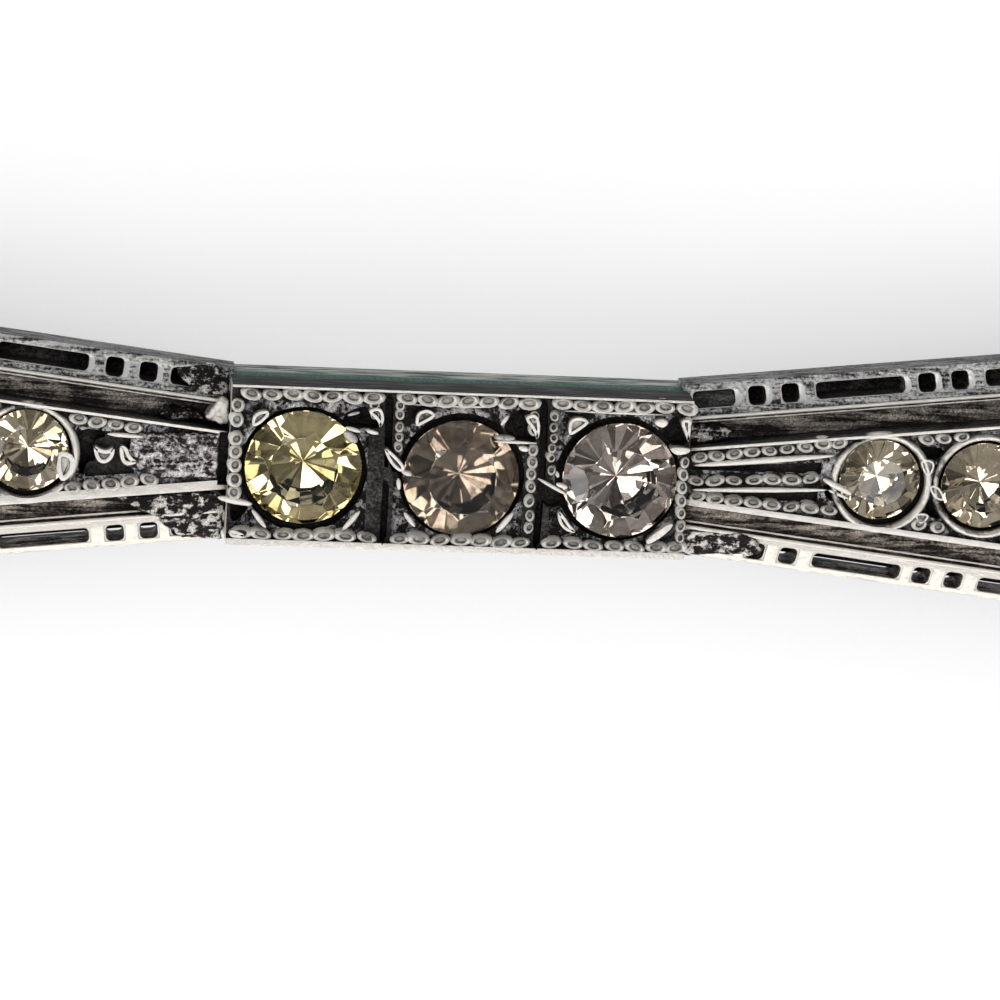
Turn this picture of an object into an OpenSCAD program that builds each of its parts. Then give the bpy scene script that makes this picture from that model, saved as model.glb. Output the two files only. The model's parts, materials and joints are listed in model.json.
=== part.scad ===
// Bar brooch in the shape of a bow tie: a raised block with three stones between two flared wings.
// The face looks up, the length runs along X, and the origin is under the middle, on the surface it rests on.

/* [Brooch] */
// Length over both wings
brooch_len = 52; // [50:1:56]
// Height of the frame from its back to the face of the block
frame_h = 2.6; // [2.5:0.1:3.2]
// Height of the pin fitting under the frame
fitting_h = 3; // [2.8:0.1:3.6]
// Thickness of the outer walls
wall = 0.45; // [0.35:0.05:0.55]
// Thickness of the plate that closes the back
back_plate = 0.3; // [0.2:0.05:0.4]

/* [Block] */
// Length of the block
block_len = 11.4; // [11.2:0.1:12]
// Width of the block
block_w = 4.03; // [3.9:0.01:4.3]
// Thickness of the block's top plate
block_plate = 1.3; // [1.1:0.1:1.5]
// Distance between the centres of the three main stones
main_pitch = 3.9; // [3.8:0.05:4]
// Diameter of a main stone
main_d = 2.88; // [2.7:0.01:2.9]
// Diameter of the seat round a main stone
main_seat_d = 3.15; // [3.1:0.01:3.2]
// Width of the saw slots between the three cells
slot_w = 0.2; // [0.12:0.01:0.22]

/* [Wings] */
// Diameters of the stones of a wing, from the block outwards
wing_d = [2.04, 2.16, 2.5, 2.9, 3.3];
// Distance of the first wing stone from the middle of the brooch
first_stone_x = 10.64; // [10.4:0.01:10.9]
// Metal left between two neighbouring wing stones
stone_gap = 0.52; // [0.4:0.01:0.56]
// Drop of the stone strip below the face of the block
strip_drop = 0.475; // [0.4:0.025:0.55]
// Width of the stone strip where it leaves the block
strip_w = 1.434; // [1.3:0.01:1.6]
// Widening of the stone strip on each side, in degrees
strip_flare = 6.22; // [6:0.01:6.4]
// Depth of the channel floor below the face of the block
channel_depth = 1.35; // [1.2:0.05:1.4]
// Thickness of the channel floor
floor_h = 0.5; // [0.4:0.05:0.6]

/* [Rails] */
// Width over both rails where they leave the block
rails_w = 4.3; // [4.2:0.01:4.4]
// Width of one rail
rail_w = 0.8; // [0.75:0.01:0.85]
// Widening of the rails on each side, in degrees
rail_flare = 6.5; // [6.3:0.01:6.7]
// Drop of the inner edge of a rail below the face of the block
rail_in_drop = 0.95; // [0.9:0.05:1]
// Drop of the outer edge of a rail below the face of the block
rail_out_drop = 1.35; // [1.2:0.05:1.5]
// Distance after which the pierced pattern of two holes and a bar repeats
pierce_pitch = 4.2; // [4.1:0.05:4.3]
// Side of a square hole
hole_w = 0.45; // [0.4:0.01:0.46]
// Length of a pierced bar
bar_len = 2.2; // [2:0.05:2.3]
// Width of a pierced bar
bar_w = 0.4; // [0.3:0.02:0.44]

/* [Hidden] */
$fn = 48;

// Heights above the surface that the brooch rests on
face_z = fitting_h + frame_h;
half_block = block_len / 2;
wing_len = brooch_len / 2 - half_block;
overlap = 0.3;

// The seats of the main stones lie a little off the middle of their cells, as drilled by hand,
// and so do the stones in them, which are also turned a little
seat_at = [[0.04, -0.1], [0.05, -0.12], [0.06, -0.06]];
main_at = [[0.04, -0.07], [0.06, -0.2], [0.12, -0.12]];
main_turn_step = 11;
wing_turn_step = 17;
// How deep the top of a girdle lies below the metal round it
main_sink = 0.28;
wing_sink = 0.2;
seat_clear = 0.1;
main_ledge_part = 0.9;
wing_ledge_part = 0.92;
main_seat_depth = 0.62;
wing_seat_depth = 0.46;
// Width of the ring of metal round each wing stone, and how far it stands above the strip
collet_w = 0.22;
collet_proud = 0.04;

// Cut of the stones, as parts of the girdle's radius
table_part = 0.52;
crown_part = 0.34;
girdle_part = 0.06;
pavilion_part = 0.84;
star_part = 0.78;
lower_part = 0.36;
sides = 8;

// Raised rows of beads, drawn as round ridges, and the sunk ground inside them
ridge_r = 0.15;
ridge_proud = 0.06;
edge_in = 0.18;
ground_in = 0.36;
ground_depth = 0.2;
slot_depth = 0.5;
slot_end = 0.12;
cut_depth = 0.7;
cut_near = 0.8;
grain_r = 0.24;
// Leaf-shaped graver cuts on the left of the three main stones, from the middle of each cell
leaf_cuts = [
    [[-1.9, -0.95], [-1.24, -1.07], [-1.35, -1.26], [-1.63, -1.52], [-1.9, -1.3]],
    [[-1.97, 0.5], [-1.75, 0.42], [-1.4, 0.08], [-1.5, -0.12], [-1.75, -0.1], [-1.95, 0.1]],
    [[-2, -0.1], [-1.61, -0.3], [-1.17, -0.5], [-1.51, -0.88], [-1.82, -0.73], [-1.95, -0.52]]
];

// First square hole, second square hole and bar of the pierced pattern, from the middle of the brooch
hole_1_x = 7.57;
hole_2_x = 8.5;
bar_x = 9.1;
// How far the pattern is moved outwards in each rail: far left, near left, far right, near right
pierce_shift = [0.27, 0.1, 0, 0.12];
pierce_in = 0.43;
end_wall = 0.5;
// How much of each corner is cut off at the end of a wing
corner = 0.5;
// Bevel along the back edge of a rail: its width and its height
back_bevel_w = 0.25;
back_bevel_h = 0.35;

// Cuts in the metal between two wing stones: start, as a part of the stone before them, and half widths
gusset_part = 0.32;
gusset_near_w = 0.16;
gusset_out_w = 0.42;

// Pin fitting: hinge block, catch and stem
fitting_x = 17.72;
fitting_gap = 0.04;
foot_len = 2;
hinge_w = 3.2;
catch_w = 2.8;
catch_back = 0.7;
catch_rise = 0.15;
catch_spare = 0.2;
plate_w = 3.6;
plate_h = 0.5;
sunk = 0.1;
stem_d = 0.9;
stem_z = 1.35;
point_d = 0.1;
point_len = 2.6;

function strip_half(x) = strip_w / 2 + tan(strip_flare) * (x - half_block);
function rail_half(x) = rails_w / 2 + tan(rail_flare) * (x - half_block);
function back_half(x) = rail_half(x) - wall / 2;
function wing_x(i) = i == 0 ? first_stone_x : wing_x(i - 1) + (wing_d[i - 1] + wing_d[i]) / 2 + stone_gap;
function round_point(r, z, turn) = [r * cos(turn), r * sin(turn), z];
function ring(n, r, z, turn) = [for (i = [0:n - 1]) round_point(r, z, turn + i * 360 / n)];

// Faceted stone: table, stars, kites, a narrow girdle and a pointed back. Its girdle top is at the origin
module brilliant(d) {
    r = d / 2;
    half_turn = 180 / sides;
    table_r = r * table_part;
    crown_h = r * crown_part;
    girdle_h = r * girdle_part;
    pavilion_h = r * pavilion_part;
    star_r = r * star_part;
    lower_r = r * lower_part;
    star_z = crown_h * (1 - (star_r * cos(half_turn) - table_r) / (r - table_r));
    lower_z = -girdle_h - pavilion_h * (1 - lower_r * cos(half_turn) / r);
    n = sides;
    points = concat(
        ring(n, table_r, crown_h, 0),
        ring(n, star_r, star_z, half_turn),
        ring(2 * n, r, 0, 0),
        ring(2 * n, r, -girdle_h, 0),
        ring(n, lower_r, lower_z, half_turn),
        [[0, 0, -girdle_h - pavilion_h]]
    );
    star = n;
    girdle = 2 * n;
    under = 4 * n;
    lower = 6 * n;
    tip = 7 * n;
    faces = concat(
        [[for (i = [n - 1:-1:0]) i]],
        [for (i = [0:n - 1]) [(i + 1) % n, star + i, i]],
        [for (i = [0:n - 1]) [i, star + i, girdle + 2 * i, star + (i + n - 1) % n]],
        [for (i = [0:n - 1]) [star + i, girdle + 2 * i + 1, girdle + 2 * i]],
        [for (i = [0:n - 1]) [star + i, girdle + (2 * i + 2) % (2 * n), girdle + 2 * i + 1]],
        [for (i = [0:2 * n - 1], next = (i + 1) % (2 * n))
            [girdle + i, girdle + next, under + next, under + i]],
        [for (i = [0:n - 1]) [lower + i, under + 2 * i, under + 2 * i + 1]],
        [for (i = [0:n - 1]) [lower + i, under + 2 * i + 1, under + (2 * i + 2) % (2 * n)]],
        [for (i = [0:n - 1]) [tip, lower + (i + n - 1) % n, under + 2 * i, lower + i]]
    );
    polyhedron(points, faces);
}

// One of the three stones of the block, counted from the left
module main_stone(i, tint) {
    color(tint)
        translate([(i - 1) * main_pitch + main_at[i][0], main_at[i][1], face_z - main_sink])
            rotate(main_turn_step * i)
                brilliant(main_d);
}

// One stone of a wing, counted from the block. Side is 1 on the right and -1 on the left
module wing_stone(i, side) {
    color("khaki")
        translate([side * wing_x(i), 0, face_z - strip_drop - wing_sink])
            rotate(wing_turn_step * i)
                brilliant(wing_d[i]);
}

// Seat of a stone whose metal lies a drop below the block's face: a bore that takes the girdle,
// and a narrower one for the stone's point, into the hollow above the back plate
module seat(d, hole_d, depth, drop) {
    translate([0, 0, -depth])
        cylinder(d = d, h = depth + 1);
    translate([0, 0, back_plate - frame_h + drop])
        cylinder(d = hole_d, h = frame_h - back_plate - drop);
}

// Raised row along the line between two points of a flat face
module ridge(from, to, z) {
    way = to - from;
    translate([from[0], from[1], z - ridge_r + ridge_proud])
        rotate([0, 90, atan2(way[1], way[0])])
            cylinder(r = ridge_r, h = norm(way), $fn = 24);
}

// Rows of beads round the three cells of the block
module block_ridges() {
    row_x = half_block - edge_in;
    row_y = block_w / 2 - edge_in;
    for (y = [-row_y, row_y])
        ridge([-row_x, y], [row_x, y], 0);
    column_in = slot_w / 2 + ridge_r + 0.02;
    for (x = [-row_x, row_x, -main_pitch / 2 - column_in, -main_pitch / 2 + column_in,
              main_pitch / 2 - column_in, main_pitch / 2 + column_in])
        ridge([x, -row_y], [x, row_y], 0);
}

// Small grains of metal pushed over the edge of each main stone
module block_grains() {
    for (i = [-1:1])
        for (turn = [135, 315])
            translate([i * main_pitch, 0, 0])
                rotate(turn)
                    translate([main_seat_d / 2 + grain_r, 0, -grain_r / 2])
                        sphere(r = grain_r, $fn = 24);
}

// Three-cornered cut beside a main stone, in the corner of its cell
module corner_cut() {
    out = main_pitch / 2 - ground_in;
    top = block_w / 2 - ground_in;
    translate([0, 0, -cut_depth])
        linear_extrude(cut_depth + 1)
            polygon([[cut_near, top], [out, top], [out, cut_near]]);
}

// Leaf-shaped cut on the left of a main stone
module leaf_cut(outline) {
    translate([0, 0, -cut_depth])
        linear_extrude(cut_depth + 1)
            polygon(outline);
}

// Sunk ground of the three cells, inside the rows of beads
module grounds() {
    in = main_pitch - 2 * ground_in;
    for (i = [-1:1])
        translate([i * main_pitch - in / 2, -block_w / 2 + ground_in, -ground_depth])
            cube([in, block_w - 2 * ground_in, ground_depth + 1]);
}

// Saw slot between two cells
module slot() {
    len = block_w - 2 * slot_end;
    translate([-slot_w / 2, -len / 2, -slot_depth])
        cube([slot_w, len, slot_depth + 1]);
}

// Raised block, hollow between its top plate and its back plate
module block() {
    difference() {
        union() {
            difference() {
                translate([-half_block, -block_w / 2, -frame_h])
                    cube([block_len, block_w, frame_h]);
                grounds();
            }
            block_ridges();
            block_grains();
        }
        translate([-half_block + wall, -block_w / 2 + wall, back_plate - frame_h])
            cube([block_len - 2 * wall, block_w - 2 * wall, frame_h - back_plate - block_plate]);
        for (i = [0:2])
            translate([(i - 1) * main_pitch, 0, 0]) {
                translate([seat_at[i][0], seat_at[i][1], 0])
                    seat(main_seat_d, main_ledge_part * main_d, main_seat_depth, 0);
                corner_cut();
                leaf_cut(leaf_cuts[i]);
            }
        for (x = [-main_pitch / 2, main_pitch / 2])
            translate([x, 0, 0])
                slot();
    }
}

// Pierced openings of one rail, in the rail's own frame
module piercings(shift) {
    first = half_block + 0.15;
    last = brooch_len / 2 - end_wall;
    for (k = [-1:5]) {
        moved = shift + k * pierce_pitch;
        for (x = [hole_1_x + moved, hole_2_x + moved])
            if (x - hole_w / 2 > first && x + hole_w / 2 < last)
                translate([x - half_block - hole_w / 2, -hole_w / 2, back_plate - frame_h])
                    cube([hole_w, hole_w, frame_h]);
        start = max(first, bar_x + moved);
        end = min(last - 0.1, bar_x + bar_len + moved);
        if (end - start > hole_w)
            translate([start - half_block, -bar_w / 2, back_plate - frame_h])
                cube([end - start, bar_w, frame_h]);
    }
}

// One rail: a band that slopes down to the outside and ends in the outer wall
module rail(shift) {
    run = wing_len + 2 * overlap;
    translate([half_block, rails_w / 2 - rail_w, 0])
        rotate(rail_flare)
            difference() {
                translate([-overlap, 0, 0])
                    rotate([90, 0, 90])
                        linear_extrude(run)
                            polygon([
                                [0, -rail_in_drop],
                                [rail_w, -rail_out_drop],
                                [rail_w, back_bevel_h - frame_h],
                                [rail_w - back_bevel_w, -frame_h],
                                [rail_w - wall, -frame_h],
                                [rail_w - wall, -channel_depth - floor_h],
                                [0, -channel_depth - floor_h]
                            ]);
                translate([0, pierce_in, 0])
                    piercings(shift);
            }
}

// Flat plate between two heights, flared from the block to the end of the wing
module flared(start, half_start, half_end, low, high) {
    end = brooch_len / 2;
    translate([0, 0, low])
        linear_extrude(high - low)
            polygon([[start, -half_start], [end, -half_end], [end, half_end], [start, half_start]]);
}

// Rows of beads along the edges of the stone strip, with a third row in front of the first stone
module wing_ridges() {
    end = brooch_len / 2 - end_wall;
    for (side = [-1, 1])
        ridge([half_block - 0.05, side * (strip_half(half_block) - edge_in)],
              [end, side * (strip_half(end) - edge_in)], -strip_drop);
    ridge([half_block - 0.05, 0], [first_stone_x - wing_d[0] / 2 - 0.35, 0], -strip_drop);
}

// Three-cornered cuts on both sides of the narrow metal between two wing stones
module gusset_cuts() {
    for (i = [0:3]) {
        x = wing_x(i) + wing_d[i] / 2 + stone_gap / 2;
        out = strip_half(x) - 2 * edge_in - ridge_r;
        near = gusset_part * wing_d[i];
        for (side = [-1, 1])
            translate([x, 0, -strip_drop - cut_depth / 2])
                linear_extrude(cut_depth)
                    polygon([
                        [-gusset_near_w, side * near],
                        [gusset_near_w, side * near],
                        [gusset_out_w, side * out],
                        [-gusset_out_w, side * out]
                    ]);
    }
}

// Space of the right wing's rails, with the corners cut off at the end
module wing_bounds() {
    end = brooch_len / 2;
    side = rail_half(end) + 1;
    in = rail_half(end) - corner;
    translate([0, 0, -frame_h])
        linear_extrude(frame_h)
            polygon([[half_block, -side], [end - side + in, -side], [end, -in],
                     [end, in], [end - side + in, side], [half_block, side]]);
}

// Flared wing on the right, with the pattern of its far and near rail moved outwards
module wing(far_shift, near_shift) {
    floor_top = -channel_depth;
    floor_low = -channel_depth - floor_h;
    end = brooch_len / 2;
    start = half_block - overlap;
    floor_end = rail_half(end) - rail_w + 0.1;
    collet_h = floor_h + channel_depth - strip_drop + collet_proud;
    difference() {
        union() {
            flared(start, rail_half(half_block) - rail_w, floor_end, floor_low, floor_top);
            flared(start, strip_half(half_block), strip_half(end), floor_low, -strip_drop);
            intersection() {
                union() {
                    rail(far_shift);
                    mirror([0, 1, 0])
                        rail(near_shift);
                    translate([end - end_wall, -rail_half(end) + rail_w / 2, -frame_h])
                        cube([end_wall, 2 * rail_half(end) - rail_w, frame_h - rail_in_drop - 0.1]);
                    flared(start, back_half(half_block), back_half(end), -frame_h, back_plate - frame_h);
                }
                wing_bounds();
            }
            wing_ridges();
            for (i = [0:4])
                translate([wing_x(i), 0, floor_low])
                    cylinder(d = wing_d[i] + 2 * (seat_clear + collet_w), h = collet_h);
        }
        for (i = [0:4])
            translate([wing_x(i), 0, -strip_drop])
                seat(wing_d[i] + 2 * seat_clear, wing_ledge_part * wing_d[i], wing_seat_depth, strip_drop);
        gusset_cuts();
    }
}

// The whole soldered frame
module frame() {
    color("silver")
        translate([0, 0, face_z]) {
            block();
            wing(pierce_shift[2], pierce_shift[3]);
            mirror([1, 0, 0])
                wing(pierce_shift[0], pierce_shift[1]);
        }
}

// Section of the catch across the stem, open towards the far edge of the brooch
module catch_section() {
    difference() {
        translate([-catch_w / 2, 0])
            square([catch_w, fitting_h - fitting_gap - plate_h + sunk]);
        translate([-catch_back, stem_z + catch_rise])
            square([catch_w, stem_d + catch_spare]);
    }
}

// Pin fitting on the back: hinge block, catch and pointed stem in one plain piece
module pin_back() {
    top = fitting_h - fitting_gap;
    stem_len = 2 * fitting_x;
    color("lightsteelblue")
        union() {
            for (side = [-1, 1])
                translate([side * fitting_x - foot_len / 2, -plate_w / 2, top - plate_h])
                    cube([foot_len, plate_w, plate_h]);
            translate([-fitting_x - foot_len / 2, -hinge_w / 2, 0])
                cube([foot_len, hinge_w, top - plate_h + sunk]);
            translate([fitting_x - foot_len / 2, 0, 0])
                rotate([90, 0, 90])
                    linear_extrude(foot_len)
                        catch_section();
            translate([-fitting_x, 0, stem_z])
                rotate([0, 90, 0])
                    cylinder(d = stem_d, h = stem_len);
            translate([fitting_x, 0, stem_z])
                rotate([0, 90, 0])
                    cylinder(d1 = stem_d, d2 = point_d, h = point_len);
        }
}

frame();
main_stone(0, "darkkhaki");  // stone_left
main_stone(1, "tan");  // stone_middle
main_stone(2, "rosybrown");  // stone_right
wing_stone(0, -1);  // wing_stone_l1
wing_stone(1, -1);  // wing_stone_l2
wing_stone(2, -1);  // wing_stone_l3
wing_stone(3, -1);  // wing_stone_l4
wing_stone(4, -1);  // wing_stone_l5
wing_stone(0, 1);  // wing_stone_r1
wing_stone(1, 1);  // wing_stone_r2
wing_stone(2, 1);  // wing_stone_r3
wing_stone(3, 1);  // wing_stone_r4
wing_stone(4, 1);  // wing_stone_r5
pin_back();
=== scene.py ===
# %% [markdown]
# # A bar brooch with paste stones
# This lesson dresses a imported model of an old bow-tie brooch. Its middle is a raised block with three
# stones, and on each side a flared wing carries a row of smaller stones between two pierced rails.
# The metal is silver-toned, hand cut and badly tarnished in its hollows.
# Everything is first made on a bench that is measured in millimetres, with the face of the block at
# height zero, because whole numbers are easier to model with. Each finished piece is then shrunk to
# metres and lifted to its place.

# %% Load the solids
import json
import math
import random

import bpy
from mathutils import Matrix, Vector


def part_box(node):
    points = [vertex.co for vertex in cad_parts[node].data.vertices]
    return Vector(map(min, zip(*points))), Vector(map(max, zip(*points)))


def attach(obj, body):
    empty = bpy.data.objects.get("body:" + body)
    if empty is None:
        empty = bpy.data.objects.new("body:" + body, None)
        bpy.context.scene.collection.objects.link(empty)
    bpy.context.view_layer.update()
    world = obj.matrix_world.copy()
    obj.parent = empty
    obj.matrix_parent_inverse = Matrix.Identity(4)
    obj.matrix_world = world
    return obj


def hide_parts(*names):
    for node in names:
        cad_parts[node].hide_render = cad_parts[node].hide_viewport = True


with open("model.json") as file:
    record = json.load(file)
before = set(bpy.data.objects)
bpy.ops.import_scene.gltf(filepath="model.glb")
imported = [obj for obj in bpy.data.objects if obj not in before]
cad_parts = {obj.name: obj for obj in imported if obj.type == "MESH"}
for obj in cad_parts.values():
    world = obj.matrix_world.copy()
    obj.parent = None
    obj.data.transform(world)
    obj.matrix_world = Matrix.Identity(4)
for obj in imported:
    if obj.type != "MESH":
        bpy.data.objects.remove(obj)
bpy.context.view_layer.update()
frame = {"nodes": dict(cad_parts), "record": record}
MM = 0.001
print("nodes:", sorted(frame["nodes"]))

# %% [markdown]
# The sizes of the brooch come from a few driving ones. The frame's box ends at the top of the grains,
# a little above the block's face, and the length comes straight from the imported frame.

# %% Sizes on the bench, in millimetres
frame_low, frame_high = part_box("frame")
grain_proud = 0.12
face_up = frame_high.z / MM - grain_proud
frame_h = face_up - frame_low.z / MM
brooch_len = (frame_high.x - frame_low.x) / MM
block_len = 11.4
block_w = 4.03
half_block = block_len / 2
half_w = block_w / 2
main_pitch = 3.9
main_d = 2.88
seat_d = 3.15
wing_d = (2.04, 2.16, 2.5, 2.9, 3.3)
first_stone = 10.64
stone_gap = 0.52
strip_drop = 0.475
strip_w = 1.434
strip_flare = math.radians(6.22)
channel_drop = 1.35
floor_h = 0.5
rails_w = 4.3
rail_w = 0.8
rail_flare = math.radians(6.5)
rail_in_drop = 0.95
rail_out_drop = 1.35
wall = 0.45
back_bevel_w = 0.25
back_bevel_h = 0.35
wing_end = brooch_len / 2
wing_len = wing_end - half_block
end_wall = 0.5
# the plates and rails stop a hair short of the end walls, so that no two faces share a plane
plate_end = wing_end - 0.03
wing_x = [first_stone]
for inner_d, outer_d in zip(wing_d, wing_d[1:]):
    wing_x.append(wing_x[-1] + (inner_d + outer_d) / 2 + stone_gap)
print("brooch", round(brooch_len, 2), "mm long, face at", round(face_up, 3), "mm, frame", round(frame_h, 2),
      "mm high, wing stones at", [round(x, 2) for x in wing_x])


def strip_half(x):
    return strip_w / 2 + math.tan(strip_flare) * (abs(x) - half_block)


def rail_half(x):
    return rails_w / 2 + math.tan(rail_flare) * (abs(x) - half_block)


# %% [markdown]
# ## Camera, floor and light
# The photograph looks down on the face, a little from the wings' left end and from the far side.
# The camera's place is worked out from two leans and a distance, and a small shift frames the
# brooch as the photograph does.

# %% Camera
lean_left = 0.1004
lean_back = 0.2151
camera_roll = 0.0570
camera_away = 119.05
toward = Vector((-math.sin(lean_left), math.sin(lean_back), 0))
toward.z = math.sqrt(1 - toward.length_squared)
up = (Vector((0, 1, 0)) - toward.y * toward).normalized()
right = up.cross(toward)
camera_x = right * math.cos(camera_roll) + up * math.sin(camera_roll)
camera_y = up * math.cos(camera_roll) - right * math.sin(camera_roll)
place = (Vector((0, 0, face_up)) + camera_away * toward) * MM
bpy.ops.object.camera_add()
camera = bpy.context.object
camera.name = "camera"
camera.matrix_world = Matrix.Translation(place) @ Matrix((camera_x, camera_y, toward)).transposed().to_4x4()
camera.data.lens = 173.8
camera.data.shift_x = 0.0398
camera.data.shift_y = -0.0271
camera.data.clip_start = 0.005
bpy.context.scene.camera = camera
print("camera", [round(v / MM, 1) for v in place], "mm")


# %% [markdown]
# A plain pale floor lies under the brooch. It glows, and an ambient occlusion node darkens the glow
# round the brooch into a painted soft shadow. The light comes from soft boxes: three overhead, whose
# mirror images make the stones' facets flash, a low wide one in front that whitens the near rail, one on
# the left, and a dim one behind.
# The sky fades towards the far side, so the far walls stay darker, as polished metal does with
# little to mirror. The camera alone sees the sky as white.

# %% Floor and soft boxes
def plain_material(name, colour, rough):
    material = bpy.data.materials.new(name)
    material.use_nodes = True
    shader = material.node_tree.nodes["Principled BSDF"]
    shader.inputs["Base Color"].default_value = (*colour, 1)
    shader.inputs["Roughness"].default_value = rough
    return material


def soft_box(name, place, size, glow, colour=(1, 1, 1)):
    light = bpy.data.lights.new(name, 'AREA')
    light.shape = 'RECTANGLE'
    light.size = size[0]
    light.size_y = size[1]
    light.energy = glow * math.pi * size[0] * size[1]
    light.color = colour
    box = bpy.data.objects.new(name, light)
    box.location = place
    box.rotation_euler = Vector(place).to_track_quat('Z', 'Y').to_euler()
    bpy.context.scene.collection.objects.link(box)


bpy.ops.mesh.primitive_circle_add(vertices=96, radius=1.5, fill_type='NGON')
floor = bpy.context.object
floor.name = "floor"
pale_floor = plain_material("pale_floor", (0.12, 0.12, 0.12), 0.9)
tree = pale_floor.node_tree
shade = tree.nodes.new("ShaderNodeAmbientOcclusion")
shade.samples = 2
shade.inputs["Distance"].default_value = 0.010
# the glow colour follows the ambient occlusion, so the floor is darker round the brooch: a painted shadow
tone = tree.nodes.new("ShaderNodeMix")
tone.data_type = 'RGBA'
tone.inputs["A"].default_value = (0.36, 0.36, 0.37, 1)
tone.inputs["B"].default_value = (1, 1, 1, 1)
tree.links.new(shade.outputs["AO"], tone.inputs["Factor"])
tree.links.new(tone.outputs["Result"], tree.nodes["Principled BSDF"].inputs["Emission Color"])
tree.nodes["Principled BSDF"].inputs["Emission Strength"].default_value = 1.0
floor.data.materials.append(pale_floor)
soft_box("light_top", (0.06, -0.20, 0.42), (0.40, 0.14), 2.4)
soft_box("light_over", (-0.14, 0.12, 0.44), (0.20, 0.12), 3.2)
soft_box("light_over_right", (0.24, 0.08, 0.42), (0.10, 0.18), 3.2)
soft_box("light_front", (0.0, -0.37, 0.20), (0.6, 0.10), 3.0, (1, 0.98, 0.94))
soft_box("light_left", (-0.40, -0.02, 0.16), (0.25, 0.20), 2.8)
soft_box("light_far", (0.06, 0.36, 0.42), (0.60, 0.14), 0.42)
world = bpy.data.worlds.new("studio")
world.use_nodes = True
sky = world.node_tree
ray = sky.nodes.new("ShaderNodeTexCoord")
parts = sky.nodes.new("ShaderNodeSeparateXYZ")
sky.links.new(ray.outputs["Generated"], parts.inputs[0])
dim = sky.nodes.new("ShaderNodeMapRange")
dim.interpolation_type = 'SMOOTHSTEP'
dim.inputs["From Min"].default_value = -0.1
dim.inputs["From Max"].default_value = 0.6
dim.inputs["To Min"].default_value = 0.3
dim.inputs["To Max"].default_value = 0.03
sky.links.new(parts.outputs["Y"], dim.inputs["Value"])
seen = sky.nodes.new("ShaderNodeLightPath")
strength = sky.nodes.new("ShaderNodeMix")
sky.links.new(seen.outputs["Is Camera Ray"], strength.inputs["Factor"])
sky.links.new(dim.outputs["Result"], strength.inputs["A"])
strength.inputs["B"].default_value = 0.95
sky.nodes["Background"].inputs["Color"].default_value = (0.95, 0.97, 1.0, 1)
sky.links.new(strength.outputs["Result"], sky.nodes["Background"].inputs["Strength"])
bpy.context.scene.world = world
bpy.context.scene.view_settings.view_transform = 'Standard'


# %% [markdown]
# ## Finishes
# Old silver-toned metal is bright only where it is rubbed. A node group gives the patterns that every
# metal finish shares: cloudy patches, fine specks, streaks along the bar and small dents, all in
# millimetres on the object's own coordinates, so that they don't slide when the view changes.

# %% Node group with the patches, specks, streaks and dents of old metal
def new_socket(group, name, way, kind, value=None):
    socket = group.interface.new_socket(name, in_out=way, socket_type=kind)
    if value is not None:
        socket.default_value = value
    return socket


def add_noise(tree, vector, scale, detail, rough=0.6):
    node = tree.nodes.new("ShaderNodeTexNoise")
    node.inputs["Scale"].default_value = scale
    node.inputs["Detail"].default_value = detail
    node.inputs["Roughness"].default_value = rough
    tree.links.new(vector, node.inputs["Vector"])
    return node.outputs["Fac"]


def add_math(tree, operation, *values):
    node = tree.nodes.new("ShaderNodeMath")
    node.operation = operation
    for socket, value in zip(node.inputs, values):
        if isinstance(value, (int, float)):
            socket.default_value = value
        else:
            tree.links.new(value, socket)
    return node.outputs[0]


def add_range(tree, value, low, high, to_low=0.0, to_high=1.0):
    node = tree.nodes.new("ShaderNodeMapRange")
    node.interpolation_type = 'SMOOTHSTEP'
    node.inputs["From Min"].default_value = low
    node.inputs["From Max"].default_value = high
    node.inputs["To Min"].default_value = to_low
    node.inputs["To Max"].default_value = to_high
    tree.links.new(value, node.inputs["Value"])
    return node.outputs["Result"]


def add_mix(tree, factor, colour_a, colour_b):
    node = tree.nodes.new("ShaderNodeMix")
    node.data_type = 'RGBA'
    for name, colour in (("A", colour_a), ("B", colour_b)):
        if isinstance(colour, tuple):
            node.inputs[name].default_value = (*colour, 1)
        else:
            tree.links.new(colour, node.inputs[name])
    tree.links.new(factor, node.inputs["Factor"])
    return node.outputs["Result"]


def make_old_metal_group():
    group = bpy.data.node_groups.new("old_metal_pattern", 'ShaderNodeTree')
    new_socket(group, "Patch Scale", 'INPUT', 'NodeSocketFloat', 1.6)
    for name in ("Patches", "Specks", "Streaks", "Dents"):
        new_socket(group, name, 'OUTPUT', 'NodeSocketFloat')
    into = group.nodes.new("NodeGroupInput")
    out = group.nodes.new("NodeGroupOutput")
    coords = group.nodes.new("ShaderNodeTexCoord")
    bench = group.nodes.new("ShaderNodeVectorMath")
    bench.operation = 'SCALE'
    bench.inputs["Scale"].default_value = 1 / MM
    group.links.new(coords.outputs["Object"], bench.inputs[0])
    vector = bench.outputs[0]
    patches = group.nodes.new("ShaderNodeTexNoise")
    patches.inputs["Detail"].default_value = 5
    group.links.new(vector, patches.inputs["Vector"])
    group.links.new(into.outputs["Patch Scale"], patches.inputs["Scale"])
    drawn = group.nodes.new("ShaderNodeVectorMath")
    drawn.operation = 'MULTIPLY'
    drawn.inputs[1].default_value = (0.7, 9, 9)
    group.links.new(vector, drawn.inputs[0])
    streaks = add_noise(group, drawn.outputs[0], 1, 4, 0.65)
    lumps = add_noise(group, vector, 5, 2)
    fine = add_noise(group, vector, 22, 2)
    group.links.new(patches.outputs["Fac"], out.inputs["Patches"])
    group.links.new(add_noise(group, vector, 12, 3, 0.7), out.inputs["Specks"])
    group.links.new(streaks, out.inputs["Streaks"])
    group.links.new(add_math(group, 'MULTIPLY_ADD', fine, 0.35, lumps), out.inputs["Dents"])
    return group


old_metal = make_old_metal_group()
print("pattern group:", [s.name for s in old_metal.interface.items_tree])
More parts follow.
